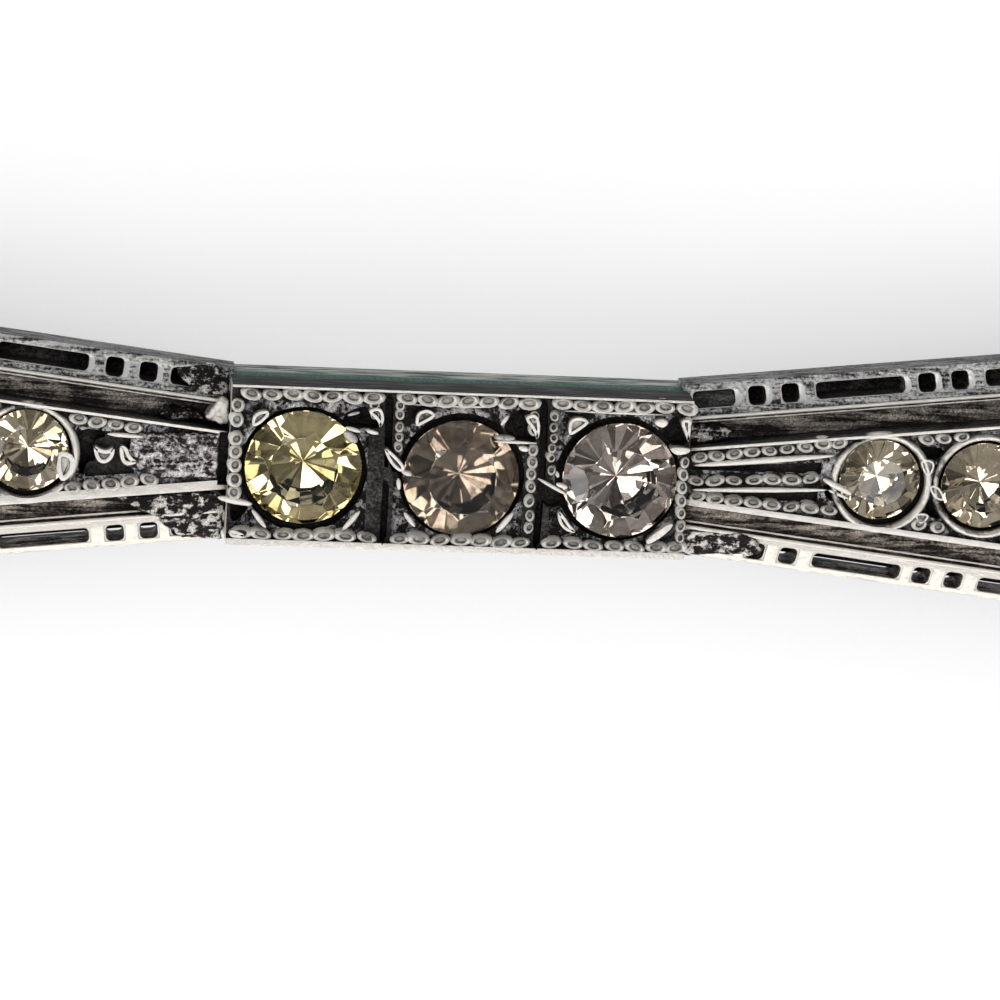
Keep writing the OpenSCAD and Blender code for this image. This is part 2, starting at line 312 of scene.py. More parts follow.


# %% [markdown]
# One function makes every metal finish. It darkens the metal where the surface is hidden from the open
# air, which an ambient occlusion node measures: partly the tarnish that gathers in hollows, partly painted
# shade. The patches, specks and streaks break its edge. The amounts differ between rubbed rims, dark
# floors and the grey rails. Rubbed metal is only partly metallic here: its fine scratches scatter light
# much as paint does.

# %% Metal finishes
def metal_finish(name, clean, tarnish_shade_colour, tarnish_shade_range, rough, dent, reach=0.4, patchy=0.9, specky=0.6, streaky=0.0,
                 patch_scale=1.6, metal=0.7):
    """The dark range gives the openness below which all is dark, tarnish and painted shade, and above which
    all is clean.
    """
    material = bpy.data.materials.new(name)
    material.use_nodes = True
    tree = material.node_tree
    shader = tree.nodes["Principled BSDF"]
    pattern = tree.nodes.new("ShaderNodeGroup")
    pattern.node_tree = old_metal
    pattern.inputs["Patch Scale"].default_value = patch_scale
    shelter = tree.nodes.new("ShaderNodeAmbientOcclusion")
    shelter.samples = 2
    shelter.inputs["Distance"].default_value = reach * MM
    openness = shelter.outputs["AO"]
    for output, share in (("Patches", patchy), ("Specks", specky), ("Streaks", streaky)):
        if share:
            wave = add_math(tree, 'MULTIPLY_ADD', pattern.outputs[output], share, -share / 2)
            openness = add_math(tree, 'ADD', openness, wave)
    mask = add_range(tree, openness, *tarnish_shade_range)
    tree.links.new(add_mix(tree, mask, tarnish_shade_colour, clean), shader.inputs["Base Color"])
    tree.links.new(add_range(tree, mask, 0, 1, rough[1], rough[0]), shader.inputs["Roughness"])
    shader.inputs["Metallic"].default_value = metal
    bump = tree.nodes.new("ShaderNodeBump")
    bump.inputs["Strength"].default_value = 1.0
    bump.inputs["Distance"].default_value = dent * MM
    tree.links.new(pattern.outputs["Dents"], bump.inputs["Height"])
    tree.links.new(bump.outputs["Normal"], shader.inputs["Normal"])
    return material


# dark tones for the sheltered places: tarnish, and painted shade where the ambient occlusion is low
tarnish_shade_black = (0.022, 0.018, 0.016)
deep_tarnish_shade = (0.014, 0.012, 0.011)
brown_tarnish_shade = (0.03, 0.025, 0.022)
white_metal = (0.98, 0.93, 0.86)
bright_silver = metal_finish(
    "bright_silver", white_metal, tarnish_shade_black, (0.32, 0.72), (0.22, 0.5), 0.035, patchy=1.2, specky=0.9, metal=0.3)
block_silver = metal_finish("block_silver", white_metal, tarnish_shade_black, (0.3, 0.65), (0.2, 0.45), 0.05, metal=0.25)
bead_silver = metal_finish(
    "bead_silver", (1.0, 0.97, 0.90), tarnish_shade_black, (0.10, 0.40), (0.26, 0.5), 0.035, patchy=1.8, specky=1.2,
    reach=0.15, patch_scale=3.0, metal=0.1)
# darker silver: in the dishes of beads and cups its dark tone is painted shade, and it also dulls some grains
# and groove walls
dull_and_shaded_silver = metal_finish(
    "dull_and_shaded_silver", (0.74, 0.70, 0.65), brown_tarnish_shade, (0.66, 1.12), (0.3, 0.5), 0.05, reach=0.2, metal=0.5)
collet_silver = metal_finish(
    "collet_silver", white_metal, tarnish_shade_black, (0.45, 0.95), (0.18, 0.45), 0.04, patchy=2.8, specky=1.0,
    patch_scale=1.3, metal=0.45)
# near-white and almost never dark: a painted highlight for the mouths of the openings
mouth_highlight_silver = metal_finish(
    "mouth_highlight_silver", (1.0, 0.99, 0.96), tarnish_shade_black, (0.0, 0.35), (0.25, 0.5), 0.02, patchy=0.8, reach=0.05,
    metal=0.25)
ground_silver = metal_finish(
    "ground_silver", (0.84, 0.83, 0.84), deep_tarnish_shade, (0.84, 1.45), (0.25, 0.45), 0.18, patchy=3.0, specky=2.4,
    patch_scale=3.5)
pit_black = metal_finish("pit_black", (0.16, 0.15, 0.15), deep_tarnish_shade, (0.7, 1.6), (0.3, 0.5), 0.10, specky=1.5)
rough_black = metal_finish(
    "rough_black", (0.92, 0.88, 0.83), deep_tarnish_shade, (0.95, 1.4), (0.22, 0.5), 0.12, reach=0.15, patchy=3.2,
    specky=1.6, streaky=1.5, patch_scale=4.0)
worn_grey = metal_finish(
    "worn_grey", (0.86, 0.80, 0.80), (0.022, 0.018, 0.02), (0.66, 1.5), (0.22, 0.5), 0.10, reach=0.15,
    patchy=2.6, specky=2.4, streaky=2.4, patch_scale=5.0)
channel_brown = metal_finish(
    "channel_brown", (0.74, 0.65, 0.57), brown_tarnish_shade, (0.55, 1.4), (0.25, 0.5), 0.14, patchy=1.6, specky=1.6,
    streaky=4.0)
# one rail metal in two copies: the far rails' finish is darker, a painted shade, the near rails' lighter, a
# painted light
far_rail_shaded_copy = metal_finish(
    "far_rail_shaded_copy", (0.82, 0.82, 0.79), (0.03, 0.032, 0.037), (0.5, 1.35), (0.3, 0.45), 0.09, reach=0.25,
    patchy=1.6, specky=2.2, streaky=3.0)
near_rail_lit_copy = metal_finish(
    "near_rail_lit_copy", (0.86, 0.81, 0.74), (0.12, 0.10, 0.09), (0.2, 0.62), (0.28, 0.5), 0.03, reach=0.2,
    patchy=0.9, specky=2.6)
# dark metal; on the faces turned to the far side and on the sawn ends it is painted shade
dark_metal_painted_shade = metal_finish(
    "dark_metal_painted_shade", (0.20, 0.20, 0.20), (0.02, 0.02, 0.02), (0.5, 1.5), (0.45, 0.65), 0.05, specky=1.5,
    streaky=2.5)
print("metal finishes:", [m.name for m in bpy.data.materials if "silver" in m.name])


# %% [markdown]
# ## Bench helpers
# An operator acts on all that is selected, so each helper clears the selection first. Faces are then
# picked in code, by their place.

# %% Helpers for picking, cutting and joining
def pick(*pieces):
    bpy.ops.object.select_all(action='DESELECT')
    for piece in pieces:
        piece.select_set(True)
    bpy.context.view_layer.objects.active = pieces[0]


def leave_edit():
    bpy.ops.object.mode_set(mode='OBJECT')


def edit(piece, action, kind='FACE'):
    """Enters edit mode with all of a piece selected, or none of it."""
    pick(piece)
    bpy.ops.object.mode_set(mode='EDIT')
    bpy.ops.mesh.select_mode(type=kind)
    bpy.ops.mesh.select_all(action=action)


def edit_faces(piece, wanted):
    edit(piece, 'DESELECT')
    leave_edit()
    for face in piece.data.polygons:
        face.select = wanted(face)
    bpy.ops.object.mode_set(mode='EDIT')


def pull(x, y, z):
    bpy.ops.mesh.extrude_region_move(TRANSFORM_OT_translate={"value": (x, y, z)})


def face_outwards():
    bpy.ops.mesh.select_all(action='SELECT')
    bpy.ops.mesh.normals_make_consistent(inside=False)
    leave_edit()


def finish_faces(piece, finish, wanted):
    """Gives the wanted faces a finish of their own."""
    if piece.data.materials.find(finish.name) < 0:
        piece.data.materials.append(finish)
    edit_faces(piece, wanted)
    piece.active_material_index = piece.data.materials.find(finish.name)
    bpy.ops.object.material_slot_assign()
    leave_edit()


def place_here(piece):
    pick(piece)
    bpy.ops.object.transform_apply(location=True, rotation=True, scale=True)


def join(name, pieces):
    pick(*pieces)
    if len(pieces) > 1:
        bpy.ops.object.join()
    whole = bpy.context.object
    whole.name = name
    place_here(whole)
    return whole


def use_modifier(piece, kind, **settings):
    pick(piece)
    modifier = piece.modifiers.new(kind.lower(), kind)
    for key, value in settings.items():
        setattr(modifier, key, value)
    bpy.ops.object.modifier_apply(modifier=modifier.name)


def copy_of(piece):
    copy = piece.copy()
    copy.data = piece.data.copy()
    bpy.context.scene.collection.objects.link(copy)
    return copy


def cut_away(piece, tool, finish=None):
    """Cuts a tool away. The cut faces get the finish, or keep the tool's own finishes."""
    if finish:
        tool.data.materials.clear()
        tool.data.materials.append(finish)
    use_modifier(piece, 'BOOLEAN', object=tool, operation='DIFFERENCE', solver='EXACT',
                 use_self=True, material_mode='TRANSFER')
    bpy.data.objects.remove(tool)


def outline_prism(name, outline, low, high):
    """A flat outline, drawn on a ring of points and pulled up to a closed solid."""
    bpy.ops.mesh.primitive_circle_add(vertices=len(outline), radius=1, fill_type='NGON')
    piece = bpy.context.object
    piece.name = name
    for vertex, (x, y) in zip(piece.data.vertices, outline):
        vertex.co = (x, y, low)
    edit(piece, 'SELECT')
    pull(0, 0, high - low)
    face_outwards()
    return piece


def box_piece(name, low, high):
    return outline_prism(name, [(low[0], low[1]), (high[0], low[1]), (high[0], high[1]), (low[0], high[1])],
                         low[2], high[2])


def round_tool(d, centre, low, high):
    bpy.ops.mesh.primitive_cylinder_add(vertices=64, radius=d / 2, depth=high - low,
                                        location=(centre[0], centre[1], (low + high) / 2))
    piece = bpy.context.object
    place_here(piece)
    return piece


def bevel(piece, width, segments, angle):
    use_modifier(piece, 'BEVEL', width=width, segments=segments, limit_method='ANGLE',
                 angle_limit=math.radians(angle), use_clamp_overlap=True)


def soften(piece, width, segments=2):
    bevel(piece, width, segments, 35)
    bpy.ops.object.shade_smooth_by_angle(angle=math.radians(40))


def rounded(outline, times=2):
    """Cuts each corner of an outline, as often as asked, so that it becomes a soft curve."""
    for _ in range(times):
        softer = []
        for (x1, y1), (x2, y2) in zip(outline, outline[1:] + outline[:1]):
            softer += [(0.75 * x1 + 0.25 * x2, 0.75 * y1 + 0.25 * y2),
                       (0.25 * x1 + 0.75 * x2, 0.25 * y1 + 0.75 * y2)]
        outline = softer
    return outline


def moved(outline, x):
    return [(px + x, py) for px, py in outline]


def hand_in(piece, slot, *nodes):
    """Shrinks a finished piece from the bench to its place, hangs it on the root and hides the imported parts
    that it stands for.
    """
    piece.location = (0, 0, face_up * MM)
    piece.scale = (MM, MM, MM)
    place_here(piece)
    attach(piece, "root")
    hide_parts(*nodes)
    print(piece.name, len(piece.data.polygons), "faces")


# %% [markdown]
# ## The block
# The block began as a plain bar. A border was left round each cell, the ground inside was cut down,
# the seats were drilled, and saw cuts part the three cells. Three-cornered and leaf-shaped graver
# cuts beside each stone throw up the grains of metal that hold it. The same order is followed here:
# a bar with soft edges, then tools that are cut away from it, with the dark finish left in each cut.

# %% Block with its cells, seats, saw cuts and graver cuts
cell_x = (-main_pitch, 0, main_pitch)
seat_at = ((0.04, -0.1), (0.05, -0.12), (0.06, -0.06))
seat_ledge = -0.62
seat_bore = 0.88 * main_d
seat_bore_end = -2.2
past_ends = 0.02
rim_far = 0.06
rim_near = 0.165
trough_deep = 0.17
ground_deep = 0.25
ground_half, ground_near, ground_far = 1.62, -1.68, 1.70
saw_deep, corner_deep, leaf_deep = 0.5, 0.75, 0.6
# tools end above the face, at heights of their own where they are joined and overlap
above, higher = 1, 1.1
corner_cuts = (
    [(0.93, 1.2), (1.1, 1.42), (1.58, 1.58), (1.93, 1.08), (1.75, 0.98), (0.98, 1.02)],
    [(0.98, 1.2), (1.37, 1.62), (1.6, 1.55), (1.89, 0.86), (1.75, 0.8), (1.25, 0.82)],
    [(1.08, 1.22), (1.36, 1.58), (1.52, 1.5), (1.7, 1.1), (1.72, 0.85), (1.22, 0.84)],
)
leaf_cuts = (
    [(-1.72, -0.92), (-1.24, -1.07), (-1.35, -1.26), (-1.6, -1.52), (-1.72, -1.35)],
    [(-1.78, 0.42), (-1.4, 0.08), (-1.5, -0.12), (-1.72, -0.05)],
    [(-1.9, -0.1), (-1.61, -0.3), (-1.17, -0.5), (-1.13, -0.62), (-1.51, -0.88), (-1.8, -0.74), (-1.9, -0.5)],
)
saw_cuts = (
    [(-1.84, 1.95), (-1.93, 1.69), (-1.89, 0.47), (-1.87, 0.05), (-1.78, 0.03), (-1.7, 0.57), (-1.72, 1.73)],
    [(-1.88, -0.28), (-1.9, -1.1), (-1.9, -1.76), (-1.83, -1.9), (-1.73, -1.7), (-1.72, -0.47),
     (-1.78, -0.3)],
    [(1.99, 1.95), (1.91, 1.77), (1.93, 0.8), (1.94, -0.12), (1.92, -1.76), (2.0, -1.9), (2.1, -1.7),
     (2.12, -0.89), (2.15, 0.59), (2.1, 1.75)],
)
block = box_piece("block", (-half_block, -half_w, -frame_h), (half_block, half_w, 0))
block.data.materials.append(block_silver)
trough = box_piece("trough", (-half_block - past_ends, -half_w + rim_near, -trough_deep),
                   (half_block + past_ends, half_w - rim_far, above))
cut_away(block, trough, pit_black)
grounds = [box_piece("ground", (x - ground_half, ground_near, -ground_deep),
                     (x + ground_half, ground_far, above)) for x in cell_x]
cut_away(block, join("grounds", grounds), ground_silver)
seats = []
for x, (across, along) in zip(cell_x, seat_at):
    seats.append(round_tool(seat_d, (x + across, along), seat_ledge, above))
    seats.append(round_tool(seat_bore, (x + across, along), seat_bore_end, above / 2))
cut_away(block, join("seats", seats), pit_black)
cuts = [outline_prism("saw_cut", outline, -saw_deep, above) for outline in saw_cuts]
for x, corner_cut, leaf_cut in zip(cell_x, corner_cuts, leaf_cuts):
    cuts.append(outline_prism("corner_cut", rounded(moved(corner_cut, x), 1), -corner_deep, higher))
    cuts.append(outline_prism("leaf_cut", rounded(moved(leaf_cut, x), 1), -leaf_deep, higher))
cut_away(block, join("cuts", cuts), pit_black)
soften(block, 0.022)
print("block:", len(block.data.polygons), "faces")

# %% [markdown]
# The far wall of the block has gone green in a band along its lower half, where damp has fed on the
# copper in the metal. The wall gets a finish of its own: bare dark metal on top, then the green band,
# then a pale streaked band towards the back, which paints a highlight along the back edge.

# %% Green wall
green_wall = plain_material("green_wall", (0.1, 0.16, 0.14), 0.6)
tree = green_wall.node_tree
shader = tree.nodes["Principled BSDF"]
shader.inputs["Specular IOR Level"].default_value = 0.12
coords = tree.nodes.new("ShaderNodeTexCoord")
parts = tree.nodes.new("ShaderNodeSeparateXYZ")
tree.links.new(coords.outputs["Object"], parts.inputs[0])
streaky = tree.nodes.new("ShaderNodeGroup")
streaky.node_tree = old_metal
height = add_math(tree, 'MULTIPLY', parts.outputs["Z"], 1 / MM)
level = add_math(tree, 'MULTIPLY_ADD', streaky.outputs["Streaks"], 0.9, height)


def scratched(pattern, low, high, dark, light):
    """Two tones of the wall, parted by one of the patterns."""
    return add_mix(tree, add_range(tree, streaky.outputs[pattern], low, high), dark, light)


bare = scratched("Streaks", 0.45, 0.7, (0.006, 0.007, 0.007), (0.10, 0.105, 0.10))
green = scratched("Specks", 0.4, 0.65, (0.01, 0.055, 0.045), (0.06, 0.19, 0.15))
# the pale band along the back edge is a painted highlight
pale = scratched("Streaks", 0.4, 0.6, (0.03, 0.05, 0.045), (0.50, 0.53, 0.49))
below_green = add_range(tree, level, face_up - 1.35, face_up - 1.1, 1.0, 0.0)
below_bare = add_range(tree, level, face_up - 0.9, face_up - 0.65, 1.0, 0.0)
wall_colour = add_mix(tree, below_green, add_mix(tree, below_bare, bare, green), pale)
tree.links.new(wall_colour, shader.inputs["Base Color"])
finish_faces(block, green_wall, lambda face: face.normal.y > 0.8 and face.center.y > half_w - 0.05)
hand_in(block, "silver", "frame")


# %% [markdown]
# ## Beaded edges
# A beading tool presses a row of small domes into the edge, each with a dish in its top. One bead is
# drawn up from a disc in rings and copied along the rows, a little uneven, as pressed by hand. The
# dish gets a darker finish, a painted shade, and the rows stop where the saw cuts part the cells.

# %% Beads of the block
chance = random.Random(7)
bead_high = 0.3
# how far each ring rises, how far it slides to the far side, and how much smaller it is than the last
bead_rings = ((0.5, 0.0, 1.0), (0.3, 0.0, 0.92), (0.2, 0.03, 0.76), (-0.10, 0.05, 0.8), (-0.15, 0.02, 0.7))
dish_at = Vector((0, 0.1))
dish_r = 0.26


def make_bead():
    """A bead that is 1 wide and 1 high with its top at height 0."""
    bpy.ops.mesh.primitive_circle_add(vertices=12, radius=0.5, fill_type='NGON', location=(0, 0, -1))
    bead = bpy.context.object
    bead.name = "bead"
    place_here(bead)
    edit(bead, 'SELECT')
    for rise, slide, shrink in bead_rings:
        pull(0, slide, rise)
        bpy.ops.transform.resize(value=(shrink, shrink, 1))
    face_outwards()
    bead.data.materials.append(bead_silver)
    # the dish gets the darker finish, a painted shade
    finish_faces(bead, dull_and_shaded_silver,
                 lambda face: (face.center.xy - dish_at).length < dish_r and face.center.z > -0.5)
    pick(bead)
    bpy.ops.object.shade_smooth_by_angle(angle=math.radians(50))
    return bead


def put_bead(x, y, z, size):
    """One copy of the bead with its top at a height."""
    copy = copy_of(bead)
    grow = chance.uniform(0.9, 1.08)
    copy.scale = (grow * size[0], grow * size[1], bead_high)
    copy.rotation_euler = (chance.uniform(-0.1, 0.2), chance.uniform(-0.15, 0.15), chance.uniform(-0.3, 0.3))
    copy.location = (x + chance.uniform(-0.015, 0.015), y + chance.uniform(-0.015, 0.015), z)
    return copy


def bead_row(start, end, count, z, size):
    """Copies of the bead from one point to another, both ends with a bead."""
    spots = [Vector(start).lerp(Vector(end), i / (count - 1)) for i in range(count)]
    return [put_bead(spot.x, spot.y, z, size) for spot in spots]


bead = make_bead()
top_y, top_z, top_size = 1.79, 0.03, (0.58, 0.34)
low_y, low_z, low_size = -1.755, 0.0, (0.58, 0.30)
# first bead, last bead and their number, for each cell
top_rows = ((-1.33, 1.67, 7), (-1.42, 1.62, 7), (-1.47, 1.62, 7))
low_rows = ((-1.45, 1.68, 7), (-1.42, 1.62, 7), (-1.50, 1.60, 7))
# x of each column, y of its beads and their size
columns = (
    ((-1.64, (1.48, 1.1, 0.62, 0.3, -0.04, -0.4, -0.72), (0.36, 0.40)),
     (1.72, (1.62, 1.38), (0.28, 0.28))),
    ((-1.55, (1.62, 1.37, 1.08, 0.82, 0.55), (0.22, 0.26)),
     (1.78, (1.44, 1.12, 0.6, 0.3, 0.0, -0.32, -0.7, -1.06, -1.38), (0.26, 0.34))),
    ((-1.64, (1.46, 1.2, 0.93, 0.68, 0.41, 0.12), (0.22, 0.26)),
     (1.68, (1.45, 0.44, 0.12, -0.21, -0.55, -0.88, -1.2, -1.5), (0.24, 0.33))),
)
beads = []
for x, top_row, low_row, sides in zip(cell_x, top_rows, low_rows, columns):
    rows = ((top_row, top_y, top_z, top_size), (low_row, low_y, low_z, low_size))
    for (first, last, count), y, z, size in rows:
        beads += bead_row((x + first, y), (x + last, y), count, z, size)
    for across, places, size in sides:
        beads += [put_bead(x + across, y, low_z, size) for y in places]
hand_in(join("block_beads", beads), "silver", "frame")


# %% [markdown]
# ## Grains
# The graver pushes curls of metal over the stones. The slim ones are long drops: a ball drawn out
# along one way and flattened, rubbed bright on top. The broad ones are cups, with an outline of
# their own and a dish in the top where the beading tool was set down.

# %% Grains of the block
drop_z = -0.07
drop_flat = 0.6
cup_dish = 0.05


def drop(start, end, width, z_start=drop_z, z_end=drop_z, finish=bright_silver):
    """A drop of metal from one point to another, a little flattened."""
    start = Vector((*start, z_start))
    end = Vector((*end, z_end))
    way = end - start
    bpy.ops.mesh.primitive_uv_sphere_add(segments=12, ring_count=8, radius=0.5)
    piece = bpy.context.object
    piece.rotation_euler = (0, math.pi / 2, 0)
    place_here(piece)
    piece.scale = (way.length, width, width * drop_flat)
    piece.rotation_euler = (0, -math.atan2(way.z, way.xy.length), math.atan2(way.y, way.x))
    piece.location = (start + end) / 2
    place_here(piece)
    piece.data.materials.append(finish)
    bpy.ops.object.shade_smooth()
    return piece


def cup(outline, low, high, lip):
    """A grain with a soft outline and a dark dish pressed into its top."""
    piece = outline_prism("cup", rounded(outline), low, high)
    piece.data.materials.append(bright_silver)
    edit_faces(piece, lambda face: face.normal.z > 0.9)
    bpy.ops.mesh.inset(thickness=lip)
    pull(0, 0, -cup_dish)
    leave_edit()
    # the dish gets the darker finish, a painted shade
    finish_faces(piece, dull_and_shaded_silver, lambda face: face.normal.z > 0.9 and face.center.z < high - cup_dish / 2)
    soften(piece, 0.015)
    return piece


def lump(outline, low, high):
    """A flat-topped grain with a soft outline and a round edge."""
    piece = outline_prism("lump", rounded(outline), low, high)
    piece.data.materials.append(bright_silver)
    soften(piece, 0.05, segments=3)
    return piece


# for each cell: start, end and width of the bright drops, then of the dull ones
cell_drops = (
    (((1.0, 1.03), (1.4, 0.93), 0.12), ((1.53, 0.97), (1.84, 0.9), 0.12),
     ((-2.05, -0.84), (-1.18, -0.99), 0.18), ((-1.19, -1.12), (-0.82, -1.58), 0.13),
     ((1.48, -1.06), (1.05, -1.6), 0.14)),
    (((0.8, 0.81), (1.88, 0.8), 0.08), ((1.42, 0.68), (1.68, 0.62), 0.16), ((0.95, 1.22), (1.12, 1.47), 0.11),
     ((-1.52, -0.2), (-1.48, -0.5), 0.12), ((-1.45, -0.02), (-1.18, -0.12), 0.13),
     ((-1.33, -1.06), (-1.04, -1.42), 0.13), ((1.38, -0.98), (0.98, -1.5), 0.16),
     ((-1.3, 1.66), (0.7, 1.66), 0.06)),
    (((-1.97, -0.08), (-1.2, -0.48), 0.1), ((-1.5, -0.2), (-1.2, -0.3), 0.13),
     ((-1.52, 0.12), (-1.45, -0.05), 0.1), ((-1.45, 1.64), (1.1, 1.63), 0.06)),
)
dull_drops = (
    (((0.98, 0.92), (1.32, 0.66), 0.25), ((1.05, 1.33), (1.35, 1.42), 0.08)),
    (((0.79, 0.92), (1.32, 0.9), 0.17),),
    (),
)
cell_cups = (
    ([(-1.3, 0.98), (-1.27, 1.3), (-0.95, 1.42), (-0.85, 1.3), (-1.12, 1.02)],
     [(-1.72, -1.58), (-1.2, -1.8), (-1.72, -1.84)],
     [(1.5, 1.48), (1.85, 1.6), (1.97, 1.3), (1.86, 1.02), (1.8, 1.25)]),
    ([(-1.18, 1.1), (-1.16, 1.46), (-0.98, 1.56), (-0.84, 1.56), (-0.65, 1.42), (-0.92, 1.24)],
     [(-1.93, 0.54), (-1.8, 0.54), (-1.4, 0.16), (-1.38, 0.0), (-1.52, -0.02), (-1.75, 0.18)],
     [(1.48, 1.45), (1.82, 1.58), (1.93, 1.2), (1.86, 0.84), (1.76, 1.15)]),
    ([(-1.28, 1.0), (-1.28, 1.39), (-1.14, 1.5), (-0.92, 1.5), (-0.76, 1.39), (-0.98, 1.2)],
     [(1.48, 1.52), (1.74, 1.58), (1.76, 1.3), (1.74, 0.93), (1.62, 1.2)],
     [(-1.42, -0.83), (-1.4, -1.16), (-1.2, -1.38), (-0.9, -1.43), (-1.1, -1.22), (-1.22, -1.05)]),
)
# the cell that each flat-topped grain stands in, and its outline
bright_lumps = (
    (0, [(-1.66, -1.62), (-1.26, -1.8), (-1.66, -1.82)]),
    (2, [(0.8, 1.43), (1.0, 1.57), (1.24, 1.47), (1.07, 1.28)]),
    (2, [(1.22, 0.84), (1.42, 0.62), (1.78, 0.7), (1.78, 0.84)]),
    (2, [(1.5, -1.12), (1.38, -1.1), (1.0, -1.38), (0.8, -1.58), (0.9, -1.66), (1.2, -1.46), (1.37, -1.3)]),
)
grain_foot = -0.5
grains = []
for x, bright, dull, cups in zip(cell_x, cell_drops, dull_drops, cell_cups):
    for rows, finish in ((bright, bright_silver), (dull, dull_and_shaded_silver)):
        for (x1, y1), (x2, y2), width in rows:
            grains.append(drop((x + x1, y1), (x + x2, y2), width, finish=finish))
    grains += [cup(moved(outline, x), grain_foot, 0.03, lip=0.07) for outline in cups]
grains += [lump(moved(outline, cell_x[cell]), grain_foot, 0.02) for cell, outline in bright_lumps]
hand_in(join("block_grains", grains), "silver", "frame")


# %% [markdown]
# ## Wings
# Each wing is a long trough that widens from the block. Its rails slope outwards and are pierced by
# pairs of square holes and long bars. Each rail is made straight, pierced, then turned to the flare.
# The openings of the far rails have a worn mouth at one end, where they catch the light; its near-white
# finish is a painted highlight.

# %% Rails
hole_w = 0.45
bar_w = 0.4
bar_len = 2.27
pierce_pitch = 4.3
hole_first = 7.52
hole_second = 8.36
bar_start = 9.0
pierce_in = 0.43
rail_tip = (rail_out_drop - rail_in_drop) / rail_w
# how far a tool that is tipped with the rail stands out of it
rail_clear = 0.06


def tip_with_rail(tool):
    tool.rotation_euler = (-math.atan(rail_tip), 0, 0)
    tool.location = (0, pierce_in, -rail_in_drop - pierce_in * rail_tip)
    place_here(tool)
    return tool


def punch(start, end, width):
    """Tool for one opening, with rounded corners."""
    tool = box_piece("punch", (start, pierce_in - width / 2, -3), (end, pierce_in + width / 2, -0.6))
    bevel(tool, 0.12, 3, 60)
    return tool


def worn_edge(start, end, width):
    """Tool for the thin bright line round an opening, a painted highlight, tipped with the rail."""
    wide, deep = 0.05, 0.03
    tool = box_piece("worn_edge", (start - wide, -width / 2 - wide, -deep),
                     (end + wide, width / 2 + wide, rail_clear))
    bevel(tool, 0.15, 3, 60)
    return tip_with_rail(tool)


def mouth(edge, width, way):
    """Tool for the worn mouth at one end of an opening: a slope that is tipped with the rail."""
    deep, back, reach = 0.105, -0.06, 0.14
    corner_x, corner_y = 0.07, 0.1
    half = width / 2 + 0.01
    outline = [(back, -half), (reach - corner_x, -half), (reach, -half + corner_y), (reach, half - corner_y),
               (reach - corner_x, half), (back, half)]
    tool = outline_prism("mouth", [(edge + way * x, y) for x, y in outline], -deep, rail_clear)
    for vertex in tool.data.vertices:
        if vertex.co.z < 0:
            vertex.co.z = -deep * (reach - way * (vertex.co.x - edge)) / (reach - back)
    return tip_with_rail(tool)


def rail_wire(y, z, d):
    """A round wire along the inner edge of the rail."""
    length = wing_len - 0.2
    bpy.ops.mesh.primitive_cylinder_add(vertices=12, radius=d / 2, depth=length)
    wire = bpy.context.object
    wire.rotation_euler = (0, math.pi / 2, 0)
    wire.location = (length / 2 + 0.02, y, z)
    place_here(wire)
    wire.data.materials.append(bright_silver)
    bpy.ops.object.shade_smooth_by_angle(angle=math.radians(40))
    return wire


def openings(shift):
    """Start, end and width of each opening of a rail, measured along it from the block."""
    first = 0.2
    last = wing_len - end_wall
    found = []
    for k in range(-1, 6):
        for x in (hole_first, hole_second):
            spot = x + shift + k * pierce_pitch - half_block
            if spot - hole_w / 2 > first and spot + hole_w / 2 < last:
                found.append((spot - hole_w / 2, spot + hole_w / 2, hole_w))
        start = max(first, bar_start + shift + k * pierce_pitch - half_block)
        end = min(last - 0.1, bar_start + shift + bar_len + k * pierce_pitch - half_block)
        if end - start > hole_w:
            found.append((start, end, bar_w))
    return found


def make_rail(shift, finish, mouth_at):
    section = [(0, -rail_in_drop), (rail_w, -rail_out_drop), (rail_w, -frame_h + back_bevel_h),
               (rail_w - back_bevel_w, -frame_h), (rail_w - wall, -frame_h),
               (rail_w - wall, -channel_drop - floor_h), (0, -channel_drop - floor_h)]
    rail = outline_prism("rail", section, -0.02, wing_len + 0.3)
    rail.rotation_euler = (math.pi / 2, 0, math.pi / 2)
    place_here(rail)
    rail.data.materials.append(finish)
    places = openings(shift)
    # a thin step round each opening gets the bright finish, a painted highlight along its rim
    cut_away(rail, join("worn_edges", [worn_edge(*place) for place in places]), bright_silver)
    cut_away(rail, join("punches", [punch(*place) for place in places]), channel_brown)
    mouths = {
        "outer": [(end, width, 1) for start, end, width in places],
        "inner": [(start, width, -1) for start, end, width in places],
        "none": [],
    }[mouth_at]
    if mouths:
        cut_away(rail, join("mouths", [mouth(*place) for place in mouths]), mouth_highlight_silver)
    wires = [rail_wire(0.02, -rail_in_drop - 0.02, 0.10), rail_wire(-0.10, -rail_in_drop - 0.14, 0.06)]
    rail = join("rail", [rail] + wires)
    rail.rotation_euler = (0, 0, rail_flare)
    rail.location = (half_block, rails_w / 2 - rail_w, 0)
    place_here(rail)
    corner = rail_half(wing_end)
    saws = [box_piece("end_saw", (plate_end, 0, -5), (wing_end + 2, corner + 2, 1)),
            outline_prism("corner_saw", [(wing_end - 0.5, corner), (wing_end + 1, corner - 1.5),
                                         (wing_end + 1, corner + 1), (wing_end - 0.5, corner + 1)], -6, 2)]
    # the sawn ends get the dark metal, a painted shade
    for saw in saws:
        cut_away(rail, saw, dark_metal_painted_shade)
    soften(rail, 0.02)
    # the outer walls get the dark metal too: painted shade on the far rails, whose outer walls face away from
    # the lights
    finish_faces(rail, dark_metal_painted_shade, lambda face: face.normal.y > 0.75)
    # the rails' inner walls get the channel's dark brown; on the near rails, which turn them away from the
    # lights, it is painted shade
    finish_faces(rail, channel_brown, lambda face: face.normal.y < -0.75 and face.area > 1)
    return rail


